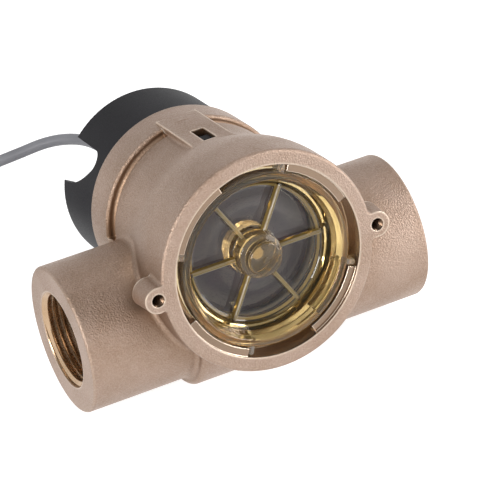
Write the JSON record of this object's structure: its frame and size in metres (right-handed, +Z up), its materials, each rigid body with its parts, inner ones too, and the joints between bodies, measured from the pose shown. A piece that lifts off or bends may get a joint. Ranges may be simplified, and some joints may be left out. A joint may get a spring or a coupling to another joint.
{
  "type": "flow sensor",
  "caption": "Cast bronze in-line paddle-wheel flow sensor with two threaded pipe ports, a clear bayonet lens over the rotor and a black electronics bonnet with a grey cable.",
  "frame": {"origin": "on the bench under the middle of the sensor's box, without its cable", "axes": "+X along the pipe towards the right port as seen from the lens, -Y to the lens side, +Z up; the sensor lies tipped back on its belly and the bonnet's lower rear edge, as in the picture, so the lens faces -Y and up"},
  "size_m": [0.1407, 0.1374, 0.0735],
  "materials": {
    "cast_bronze": "sand-cast, fine grain, bright machined edges",
    "lens_clear": "clear moulded plastic with an amber tint",
    "seal_rubber": "matte black",
    "rotor_plastic": "charcoal moulded plastic",
    "magnet_ferrite": "ground ferrite",
    "pin_ceramic": "polished ceramic",
    "bonnet_plastic": "fine textured black moulding",
    "board_laminate": "green solder mask",
    "component_black": "moulded package",
    "component_tan": "ceramic chip body",
    "cable_jacket": "smooth grey jacket",
    "tie_nylon": "black nylon",
    "lead_red": "smooth insulation",
    "lead_white": "smooth insulation",
    "lead_black": "smooth insulation",
    "tinned_copper": "tinned strands"
  },
  "bodies": {
    "sensor_body": {"body_casting": "cast_bronze", "rotor_pin": "pin_ceramic", "bonnet": "bonnet_plastic", "circuit_board": "board_laminate", "hall_sensor": "component_black", "board_resistors": "component_black", "board_capacitors": "component_tan", "board_diode": "component_black", "inner_leads": "lead_white", "cable_grommet": "seal_rubber", "cable": "cable_jacket", "cable_coil": "cable_jacket", "coil_tie": "tie_nylon", "lead_red": "lead_red", "lead_white": "lead_white", "lead_black": "lead_black", "lead_tips": "tinned_copper"},
    "paddle_wheel": {"rotor": "rotor_plastic", "rotor_magnets": "magnet_ferrite"},
    "bayonet_lens": {"lens": "lens_clear", "lens_o_ring": "seal_rubber"}
  },
  "joints": [
    {"name": "rotor_spin", "type": "hinge", "parent": "sensor_body", "child": "paddle_wheel", "pos_m": [0, -0.01044, 0.03777], "axis": [0, -0.9619, 0.2735], "continuous": true},
    {"name": "lens_twist", "type": "hinge", "parent": "sensor_body", "child": "bayonet_lens", "pos_m": [0, -0.03642, 0.04516], "axis": [0, -0.9619, 0.2735], "range_deg": [0, 39]}
  ]
}
